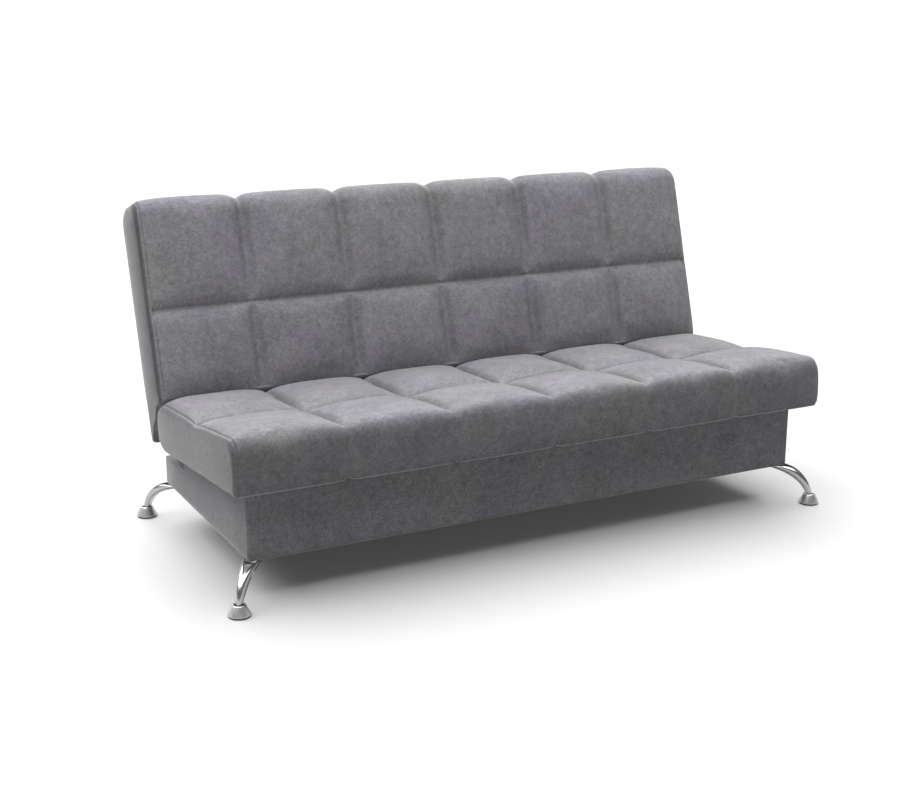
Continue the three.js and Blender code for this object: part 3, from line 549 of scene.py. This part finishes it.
def stretched_cloth(name, material, frame_of, size, notch, height, thickness, sag=1.2 * MM):
    """A cloth stretched over an opening, and notched at both ends for the hinge plates. Its size is how far
    it goes across, and from where to where along; the notch is where it starts across, and the same."""
    half_width, low, high = size
    inner, notch_low, notch_high = notch
    columns, rows = 72, 24
    xs = [-inner + 2 * inner * i / (columns - 2) for i in range(columns - 1)]
    xs = [-half_width, *xs, half_width]
    mark = notch_low if notch_low > low else notch_high
    share = min(round((mark - low) / (high - low) * rows) or 1, rows - 1)
    ys = [low + (mark - low) * j / share for j in range(share)]
    ys += [mark + (high - mark) * j / (rows - share) for j in range(rows - share + 1)]
    bm = bmesh.new()
    bmesh.ops.create_grid(bm, x_segments=columns, y_segments=rows, size=1)
    for vert in bm.verts:
        x = xs[round((vert.co.x + 1) / 2 * columns)]
        y = ys[round((vert.co.y + 1) / 2 * rows)]
        hollow = hump((x + half_width) / (2 * half_width)) * hump((y - low) / (high - low))
        vert.co = (x, y, height + sag * hollow)

    def in_notch(face):
        middle = face.calc_center_median()
        return abs(middle.x) > inner and notch_low < middle.y < notch_high

    bmesh.ops.delete(bm, geom=[f for f in bm.faces if in_notch(f)], context="FACES")
    bmesh.ops.recalc_face_normals(bm, faces=bm.faces[:])
    bmesh.ops.solidify(bm, geom=bm.faces[:], thickness=thickness)
    cloth = piece_from(bm, name, material)
    cloth.data.transform(frame_of)
    return cloth


# Storage box


def box_top(y):
    """The height of the box's top edge: just under the closed seat, then down over the shoulder."""
    seat = SEAT_FRAME @ Vector((0, 0, -SEAT_THICKNESS))
    under_seat = seat.z - (min(y, BOX_SHOULDER) - seat.y) * math.tan(SEAT_TILT) - BOX_SEAT_GAP
    if y <= BOX_SHOULDER_FOOT:
        down = max(0, y - BOX_SHOULDER) / (BOX_SHOULDER_FOOT - BOX_SHOULDER)
        return under_seat + (BOX_REAR_TOP - under_seat) * down
    return BOX_REAR_TOP - BOX_REAR_FALL * (y - BOX_SHOULDER_FOOT) / (BOX_REAR - BOX_SHOULDER_FOOT)


def box_profile():
    """The cloth from its turned edge under the floor, up the outside, over the top and down the inside: how
    far in it lies, its share of the height, and what it rises above that."""
    inside = PANEL_INSET + PANEL_THICKNESS + TURNED_DOWN
    turned_under = [(24 * MM, 0, -0.4 * MM), (7 * MM, 0, -0.4 * MM), (3.4 * MM, 0, 0.5 * MM)]
    up_outside = [(1 * MM, 0, 3.2 * MM), (0, 0, 8 * MM)] + [(0, i / 7, 0) for i in range(1, 7)]
    over_top = [(0, 1, -3 * MM), (0.9 * MM, 1, -0.9 * MM), (3 * MM, 1, 0), (inside - 2 * MM, 1, 0)]
    down_inside = [(inside, 1, -3 * MM), (inside, 1, -24 * MM)]
    return turned_under + up_outside + over_top + down_inside


def box_outline():
    """The round-cornered outline of the box as edges, split where its top edge bends."""
    rows = [BOX_FRONT, -0.27, -0.14, -0.01, BOX_SHOULDER, BOX_SHOULDER_FOOT, 0.24, BOX_REAR]
    bm = bmesh.new()
    bmesh.ops.create_grid(bm, x_segments=16, y_segments=len(rows) - 1, size=1)
    for vert in bm.verts:
        row = rows[round((vert.co.y + 1) / 2 * (len(rows) - 1))]
        vert.co = (vert.co.x * BOX_HALF_WIDTH, row, 0)
    bmesh.ops.dissolve_faces(bm, faces=bm.faces[:])

    def at_corner(co):
        return abs(co.x) > BOX_HALF_WIDTH - 0.5 * MM and min(co.y - BOX_FRONT, BOX_REAR - co.y) < 0.1 * MM

    corners = [v for v in bm.verts if at_corner(v.co)]
    rounding = {"offset": BOX_CORNER, "segments": 6, "profile": 0.5, "affect": "VERTICES", "material": -1}
    bmesh.ops.bevel(bm, geom=corners, **rounding)
    bmesh.ops.delete(bm, geom=bm.faces[:], context="FACES_ONLY")
    return bm


def box_upholstery(material):
    """Cloth drawn round the four panels, turned under the floor and over their top edges."""
    bm = box_outline()
    profile = box_profile()
    edges = bm.edges[:]
    for _ in profile[1:]:
        edges = drawn_on(bm, edges, (0, 0, 1))
    middle = (BOX_FRONT + BOX_REAR) / 2
    half = (BOX_HALF_WIDTH, (BOX_REAR - BOX_FRONT) / 2)
    for vert in bm.verts:
        inset, rise, lift = profile[round(vert.co.z)]
        place = (vert.co.x, vert.co.y - middle)
        past = [abs(p) - (h - BOX_CORNER) for p, h in zip(place, half)]
        radius = max(BOX_CORNER - inset, 1 * MM)
        drawn_in = inset - (BOX_CORNER - radius)
        at_corner = min(past) > -1e-5
        ends = []
        for p, h, over in zip(place, half, past):
            core = h - BOX_CORNER - drawn_in + max(0, over) / BOX_CORNER * radius
            outward = at_corner or over > BOX_CORNER - 1e-5
            ends.append(math.copysign(core, p) if outward else p)
        x, y = ends[0], ends[1] + middle
        top = box_top(min(max(vert.co.y, BOX_FRONT), BOX_REAR))
        vert.co = (x, y, BOX_UNDERSIDE + (top - BOX_UNDERSIDE) * rise + lift)
    bmesh.ops.recalc_face_normals(bm, faces=bm.faces[:])
    bmesh.ops.solidify(bm, geom=bm.faces[:], thickness=-0.8 * MM)
    return piece_from(bm, "box_upholstery", material)


# Legs

# Across the depth of a leg, from its outer curve to its inner one, and out to its flank
LEG_FLANK = (
    (0.0, 0.0), (0.0, 0.22), (0.03, 0.42), (0.1, 0.62), (0.22, 0.79), (0.38, 0.9), (0.54, 0.95),
    (0.64, 0.955), (0.68, 0.90), (0.73, 0.83), (0.79, 0.83), (0.83, 0.90), (0.86, 0.98), (0.92, 1.0),
    (0.98, 0.99), (1.0, 0.93), (1.0, 0.5), (1.0, 0.0),
)
LEG_STEPS = 30

# How far out the outer and the inner curve of a leg start, and half of its depth at the foot
LEG_START = (-0.012, -0.110)
LEG_TIP = 0.0085


def leg_place(share, inward, aside):
    """A place on a leg: along it from the box to the foot, in from its outer curve, and out to its flank."""
    reach, drop = math.sin(math.pi / 2 * share), math.cos(math.pi / 2 * share)
    ends = (FOOT_OUT + LEG_TIP, FOOT_OUT - LEG_TIP)
    outer, inner = (start + (end - start) * reach for start, end in zip(LEG_START, ends))
    half_width = 0.008 + 0.022 * (1 - share) ** 1.3
    height = LEG_FOOT + (LEG_TOP - LEG_FOOT) * drop
    return Vector((outer + (inner - outer) * inward, half_width * aside, height))


def wedge_cutter():
    """The V that is open in the top of a leg, under the corner of the box."""
    bm = bmesh.new()
    corners = [(-0.016, -0.0182), (0.046, 0), (-0.016, 0.0182)]
    bm.faces.new([bm.verts.new((x, y, LEG_TOP - 0.026)) for x, y in corners])
    thickened(bm, (0, 0, 0.06))
    return piece_from(bm, "cutter", DARK_STEEL)


def curved_leg(name, stance):
    """A pressed horn of chromed steel with a creased flank, open in a V under the corner of the box."""
    bm = bmesh.new()
    outline = list(LEG_FLANK) + [(inward, -aside) for inward, aside in reversed(LEG_FLANK[1:-1])]
    verts = [bm.verts.new((inward, aside, 0)) for inward, aside in outline]
    edges = [bm.edges.new((a, b)) for a, b in zip(verts, verts[1:] + verts[:1])]
    for _ in range(LEG_STEPS):
        edges = drawn_on(bm, edges, (0, 0, 1))
    for vert in bm.verts:
        vert.co = leg_place(vert.co.z / LEG_STEPS, vert.co.x, vert.co.y)
    bmesh.ops.holes_fill(bm, edges=bm.edges[:], sides=0)
    leg = piece_from(bm, name, CHROME)
    cut_out(leg, [wedge_cutter()])
    rounded_edges(leg, 0.7 * MM)
    leg.data.transform(stance)
    return leg


def rounded_edges(piece, width):
    """Rounds the edges that the cuts left sharp."""
    bevel = piece.modifiers.new("Bevel", "BEVEL")
    bevel.width, bevel.segments, bevel.limit_method = width, 2, "ANGLE"
    bevel.angle_limit = math.radians(38)
    settled(piece)
    piece.data.set_sharp_from_angle(angle=math.radians(50))


def turned(name, profile, material, steps=64):
    """A piece turned on a lathe from its outline, given as radius and height in millimetres."""
    bm = bmesh.new()
    verts = [bm.verts.new((radius * MM, 0, height * MM)) for radius, height in profile]
    edges = [bm.edges.new(pair) for pair in zip(verts, verts[1:])]
    spin = {"cent": (0, 0, 0), "axis": (0, 0, 1), "angle": 2 * math.pi, "steps": steps, "use_merge": True}
    bmesh.ops.spin(bm, geom=verts + edges, **spin)
    bmesh.ops.remove_doubles(bm, verts=bm.verts[:], dist=0.001 * MM)
    return piece_from(bm, name, material, 30)


CONE = (
    (0, 4.3), (29.6, 4.3), (30.6, 4.7), (31.0, 5.6), (30.7, 6.9), (18.3, 30.2), (17.6, 31.5), (16.4, 32.2),
    (13.4, 32.3), (12.5, 31.9), (12.1, 31.0), (12.1, 15.0), (11.6, 14.5), (0, 14.5),
)
GLIDE = ((0, 0), (27.4, 0), (28.6, 0.5), (29.2, 1.6), (29.2, 3.0), (28.6, 3.8), (27.6, 4.1), (0, 4.1))
RIM_HOLE = ((0, 20), (4.2, 20), (4.2, 40), (0, 40))


def foot_cone(name, stance):
    """The foot that a leg stands in, with the small round hole in its rim on the inner side."""
    cone = turned(name, CONE, SATIN_CHROME)
    hole = turned("cutter", RIM_HOLE, DARK_STEEL, steps=24)
    hole.data.transform(Matrix.Translation((-15 * MM, 0, 0)))
    cut_out(cone, [hole])
    cone.data.set_sharp_from_angle(angle=math.radians(40))
    cone.data.transform(stance @ Matrix.Translation((FOOT_OUT, 0, 0)))
    return cone


def glide(name, stance):
    pad = turned(name, GLIDE, RUBBER, steps=48)
    pad.data.transform(stance @ Matrix.Translation((FOOT_OUT, 0, 0)))
    return pad


# Finishes


class Finish:
    """A node material on the Principled shader, with its patterns laid on the piece's own space."""

    def __init__(self, name, **values):
        self.material = bpy.data.materials.new(name)
        self.material.use_nodes = True
        self.nodes = self.material.node_tree.nodes
        self.links = self.material.node_tree.links
        self.shader = self.nodes["Principled BSDF"]
        for socket, value in values.items():
            self.shader.inputs[socket.replace("_", " ")].default_value = value
        place = self.nodes.new("ShaderNodeTexCoord")
        self.space, self.facing = place.outputs["Object"], place.outputs["Normal"]

    def stretched(self, scale):
        mapping = self.nodes.new("ShaderNodeMapping")
        mapping.inputs["Scale"].default_value = scale
        self.links.new(self.space, mapping.inputs["Vector"])
        return mapping.outputs["Vector"]

    def noise(self, scale, detail=3, roughness=0.55, space=None, distortion=0):
        node = self.nodes.new("ShaderNodeTexNoise")
        values = {"Scale": scale, "Detail": detail, "Roughness": roughness, "Distortion": distortion}
        for socket, value in values.items():
            node.inputs[socket].default_value = value
        self.links.new(space or self.space, node.inputs["Vector"])
        return node.outputs["Fac"]

    def ramp(self, value, *stops):
        """Colours laid on a value, each from its own place."""
        node = self.nodes.new("ShaderNodeValToRGB")
        elements = node.color_ramp.elements
        while len(elements) < len(stops):
            elements.new(0.5)
        for element, (place, colour) in zip(elements, stops):
            element.position, element.color = place, (*colour, 1)
        self.links.new(value, node.inputs["Fac"])
        return node.outputs["Color"]

    def greys(self, value, low, high, start=0.3, end=0.7):
        """Two greys laid on a value, the first up to its start and the second from its end."""
        return self.ramp(value, (start, grey(low)), (end, grey(high)))

    def feed(self, socket, value):
        """Links a socket to another one, or sets it to a colour or a number."""
        if hasattr(value, "is_linked"):
            self.links.new(value, socket)
        else:
            socket.default_value = (*value, 1) if isinstance(value, tuple) else value

    def mixed(self, share, a, b, blend="MIX"):
        node = self.nodes.new("ShaderNodeMix")
        node.data_type, node.blend_type = "RGBA", blend
        for socket, value in ((node.inputs["Factor"], share), (node.inputs[6], a), (node.inputs[7], b)):
            self.feed(socket, value)
        return node.outputs[2]

    def maths(self, operation, a, b):
        node = self.nodes.new("ShaderNodeMath")
        node.operation = operation
        for socket, value in zip(node.inputs, (a, b)):
            self.feed(socket, value)
        return node.outputs[0]

    def colour(self, value):
        self.links.new(value, self.shader.inputs["Base Color"])

    def rough(self, value):
        self.links.new(value, self.shader.inputs["Roughness"])

    def bump(self, height, distance, strength):
        """Relief in metres, laid over what the surface already has."""
        node = self.nodes.new("ShaderNodeBump")
        node.inputs["Distance"].default_value = distance
        node.inputs["Strength"].default_value = strength
        self.links.new(height, node.inputs["Height"])
        before = self.shader.inputs["Normal"]
        if before.is_linked:
            self.links.new(before.links[0].from_socket, node.inputs["Normal"])
        self.links.new(node.outputs["Normal"], before)


def grey(level, tint=(1, 1, 1)):
    return tuple(level * t for t in tint)


def velour(name, level, sides=0, front=0):
    """Brushed grey velour: cloudy nap with fine dark flecks, a faint drift between violet and plain grey,
    and a soft sheen. Painted shade darkens the colour on the sides and the front of a piece, by the given
    shares."""
    finish = Finish(name, Roughness=0.9, Sheen_Weight=0.6, Sheen_Roughness=0.3, Specular_IOR_Level=0.15)
    clouds = finish.greys(finish.noise(8, 4, 0.6), 0.4, 0.6)
    patches = finish.greys(finish.noise(48, 5, 0.7, distortion=0.5), 0.32, 0.68)
    flecks = finish.greys(finish.noise(160, 4, 0.75, distortion=0.3), 0.25, 0.62, end=0.62)
    strands = finish.greys(finish.noise(1, 5, 0.7, finish.stretched((80, 330, 330))), 0.35, 0.65)
    drift = finish.greys(finish.noise(5, 2), 0, 1, 0.4, 0.6)
    violet, plain = grey(level, (1.0, 0.962, 1.075)), grey(level, (1.01, 0.995, 1.03))
    base = finish.mixed(drift, violet, plain)
    for share, pattern in ((0.6, clouds), (0.55, patches), (0.55, flecks), (0.4, strands)):
        base = finish.mixed(share, base, pattern, "OVERLAY")
    # Painted shade: the colour is multiplied darker where the normal turns aside or ahead, standing in for
    # less light on the sides and the front
    facing = finish.nodes.new("ShaderNodeSeparateXYZ")
    finish.links.new(finish.facing, facing.inputs[0])
    aside = finish.maths("ABSOLUTE", facing.outputs["X"], 0)
    ahead = finish.maths("MULTIPLY", facing.outputs["Y"], -1)
    for turn, less in ((aside, sides), (ahead, front)):
        base = finish.mixed(1.0, base, finish.greys(turn, 1, 1 - less, 0.35, 0.9), "MULTIPLY")
    finish.colour(base)
    finish.bump(finish.noise(520, 3, 0.7), 0.0006, 0.5)
    finish.bump(patches, 0.0012, 0.4)
    return finish.material


def chromed(name, level, roughness):
    """Chromed steel, worn a little unevenly."""
    finish = Finish(name, Metallic=1, Roughness=roughness)
    finish.colour(finish.greys(finish.noise(30, 2), level, level * 1.1))
    wear = finish.noise(140, 4, 0.6)
    finish.rough(finish.greys(wear, roughness * 0.8, roughness * 1.2, 0.35, 0.75))
    return finish.material


def wood(name, light, dark, direction):
    """Planed wood with its grain along X, Y or Z."""
    finish = Finish(name, Roughness=0.6)
    stretch = [60.0] * 3
    stretch["XYZ".index(direction)] = 2.2
    grain = finish.noise(1, 6, 0.6, finish.stretched(stretch), 0.6)
    fibres = finish.noise(1, 3, 0.6, finish.stretched([s * 7 for s in stretch]))
    between = [(a + b) / 2 for a, b in zip(light, dark)]
    base = finish.ramp(grain, (0.3, dark), (0.5, between), (0.72, light))
    finish.colour(finish.mixed(0.35, base, finish.greys(fibres, 0.35, 0.65), "OVERLAY"))
    finish.rough(finish.greys(fibres, 0.5, 0.72))
    finish.bump(fibres, 0.0003, 0.5)
    return finish.material


def plated(name, level, roughness):
    """Zinc plated steel with faint rolling marks."""
    finish = Finish(name, Metallic=1, Roughness=roughness)
    marks = finish.noise(1, 4, 0.6, finish.stretched((40, 900, 900)))
    bloom = finish.noise(55, 3, 0.6)
    base = finish.ramp(bloom, (0.3, grey(level * 0.85)), (0.7, grey(level, (1, 1, 1.03))))
    finish.colour(finish.mixed(0.5, base, finish.greys(marks, 0.42, 0.58), "OVERLAY"))
    finish.rough(finish.greys(bloom, roughness * 0.8, roughness * 1.3))
    finish.bump(marks, 0.0002, 0.3)
    return finish.material


def moulded_rubber():
    finish = Finish("black_rubber", Roughness=0.8)
    finish.colour(finish.greys(finish.noise(160, 3), 0.012, 0.022))
    finish.bump(finish.noise(900, 2), 0.0003, 0.4)
    return finish.material


def foam_crumb():
    finish = Finish("cream_foam", Roughness=0.95)
    crumbs = finish.noise(420, 4, 0.7)
    finish.colour(finish.ramp(crumbs, (0.3, (0.55, 0.47, 0.29)), (0.7, (0.72, 0.65, 0.45))))
    finish.bump(finish.noise(900, 2, 0.8), 0.0008, 0.8)
    return finish.material


def lining_cloth():
    """Thin black bonded lining."""
    finish = Finish("black_lining", Roughness=0.95)
    threads = finish.noise(1, 3, 0.7, finish.stretched((700, 120, 700)))
    finish.colour(finish.greys(threads, 0.018, 0.04))
    finish.bump(threads, 0.0004, 0.6)
    return finish.material


# One velour in lit and shaded copies: the levels are painted light and shade (the back lighter, the box
# darker), and the side and front shares are painted shade on upright faces
SEAT_VELOUR = velour("seat_velour", 0.165, 0.58, 0.42)
BACK_VELOUR = velour("back_velour", 0.172, 0.7)
BOX_VELOUR = velour("box_velour", 0.132, 0.18, 0.12)
CHROME = chromed("bright_chrome", 0.42, 0.24)
SATIN_CHROME = chromed("satin_chrome", 0.5, 0.4)
PLYWOOD = wood("birch_plywood", (0.42, 0.29, 0.16), (0.3, 0.19, 0.09), "X")
SOFTWOOD = wood("planed_pine", (0.45, 0.31, 0.16), (0.34, 0.21, 0.09), "X")
BEECH = wood("beech_slats", (0.44, 0.29, 0.17), (0.33, 0.2, 0.11), "Y")
ZINC = plated("zinc_plate", 0.55, 0.32)
SPRING = plated("spring_wire", 0.32, 0.28)
DARK_STEEL = plated("dark_steel", 0.06, 0.4)
RUBBER = moulded_rubber()
FOAM = foam_crumb()
LINING = lining_cloth()

# The CAD nodes of each finish, by how their names start. The rest are zinc plated.
NODE_FINISHES = (
    (PLYWOOD, ("box_floor", "box_front_panel", "box_rear_panel", "box_panel")),
    (SOFTWOOD, ("corner_block", "seat_rail", "seat_front_rail", "seat_mid_rail", "seat_rear_rail")),
    (SOFTWOOD, ("back_rail", "back_bottom_rail", "back_mid_rail", "back_top_rail")),
    (BEECH, ("seat_slats", "back_slats")),
    (FOAM, ("seat_foam", "back_foam")),
    (LINING, ("seat_bottom_cloth",)),
    (BOX_VELOUR, ("box_cover",)),
    (SEAT_VELOUR, ("seat_cover",)),
    (BACK_VELOUR, ("back_cover", "back_rear_cloth")),
    (CHROME, ("leg_",)),
    (SATIN_CHROME, ("foot_cone",)),
    (RUBBER, ("glide",)),
    (SPRING, ("pawl_spring",)),
)

for name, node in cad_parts.items():
    look = next((finish for finish, starts in NODE_FINISHES if name.startswith(starts)), ZINC)
    node.data.materials.clear()
    node.data.materials.append(look)


# Pieces


def put(piece, body, nodes):
    """Says which body a piece rides on, and hides the CAD nodes it stands for."""
    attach(piece, body)
    if nodes:
        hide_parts(*nodes)


put(seat_cushion(SEAT_VELOUR), "seat", ["seat_cover"])
put(back_cushion(BACK_VELOUR), "back", ["back_cover"])
put(foam_block("seat_foam_slab", SEAT_POCKET, -0.0713, SEAT_FRAME), "seat", ["seat_foam"])
put(foam_block("back_foam_slab", BACK_POCKET, -0.005, BACK_FRAME), "back", ["back_foam"])

seat_notch = (SLOT[0], SEAT_SLOT_START, 0.6)
seat_lining = stretched_cloth(
    "seat_lining", LINING, SEAT_FRAME, in_pocket(SEAT_POCKET), seat_notch, height=-0.1362, thickness=1 * MM
)
put(seat_lining, "seat", ["seat_bottom_cloth"])
back_notch = (SLOT[0], 0.0, BACK_SLOT_END)
back_panel = stretched_cloth(
    "back_rear_panel", BACK_VELOUR, BACK_FRAME, in_pocket(BACK_POCKET), back_notch, -0.0964, 1.5 * MM
)
put(back_panel, "back", ["back_rear_cloth"])

put(box_upholstery(BOX_VELOUR), "base", ["box_cover"])
box_size, box_notch = (0.876, -0.375, 0.316), (0.78, -0.4, -0.28)
box_lining = stretched_cloth(
    "box_lining", LINING, Matrix.Identity(4), box_size, box_notch, 0.1165, 0.8 * MM, sag=-1 * MM
)
put(box_lining, "base", None)

for end, y, ahead in (("front", BOX_FRONT, -1), ("rear", BOX_REAR, 1)):
    for side, sign in (("left", -1), ("right", 1)):
        direction = math.atan2(ahead * FOOT_DIRECTION[1], sign * FOOT_DIRECTION[0])
        stance = Matrix.Translation((sign * BOX_HALF_WIDTH, y, 0)) @ Matrix.Rotation(direction, 4, "Z")
        place = f"{end}_{side}"
        put(curved_leg(f"curved_leg_{place}", stance), "base", [f"leg_{place}"])
        put(foot_cone(f"turned_foot_{place}", stance), "base", [f"foot_cone_{place}"])
        put(glide(f"rubber_glide_{place}", stance), "base", [f"glide_{place}"])


# Studio


def pale_floor():
    """A floor that is level round the sofa, and rises far out to close off the view."""
    level_radius, slope = 18, 0.16
    bm = bmesh.new()
    bmesh.ops.create_grid(bm, x_segments=40, y_segments=40, size=200)
    for vert in bm.verts:
        vert.co.z = slope * max(0, vert.co.length - level_radius)
    pale = Finish("pale_floor", Roughness=0.6, Base_Color=(*grey(0.44), 1), Emission_Strength=0.03)
    pale.shader.inputs["Emission Color"].default_value = (1, 1, 1, 1)
    piece_from(bm, "floor", pale.material)


def overhead_light():
    """One broad light from above the sofa, and a little from behind it."""
    light = bpy.data.objects.new("overhead_light", bpy.data.lights.new("overhead_light", "SUN"))
    light.data.energy = 7.7
    light.data.angle = math.radians(96)
    light.rotation_euler = Vector((-0.12, 0.24, 0.96)).to_track_quat("Z", "Y").to_euler()
    bpy.context.scene.collection.objects.link(light)


def studio_sky():
    """White below and at the horizon, and darker overhead."""
    world = bpy.data.worlds.new("studio")
    world.use_nodes = True
    nodes, links = world.node_tree.nodes, world.node_tree.links
    split = nodes.new("ShaderNodeSeparateXYZ")
    links.new(nodes.new("ShaderNodeTexCoord").outputs["Generated"], split.inputs[0])
    sky = nodes.new("ShaderNodeValToRGB")
    for element, (place, level) in zip(sky.color_ramp.elements, ((0.0, 1), (0.16, 0.2))):
        element.position, element.color = place, (level, level, level, 1)
    links.new(split.outputs["Z"], sky.inputs["Fac"])
    links.new(sky.outputs["Color"], nodes["Background"].inputs["Color"])
    bpy.context.scene.world = world
    bpy.context.scene.view_settings.view_transform = "Standard"


def photo_camera():
    """The camera that was fitted to the photograph."""
    camera = bpy.data.objects.new("camera", bpy.data.cameras.new("camera"))
    camera.data.lens, camera.data.sensor_width = 57.67, 36
    camera.location = (-2.0513, -3.7628, 1.5357)
    aim = Vector((0, 0.1880, 0.3011)) - camera.location
    camera.rotation_euler = aim.to_track_quat("-Z", "Y").to_euler()
    bpy.context.scene.collection.objects.link(camera)
    bpy.context.scene.camera = camera


pale_floor()
overhead_light()
studio_sky()
photo_camera()
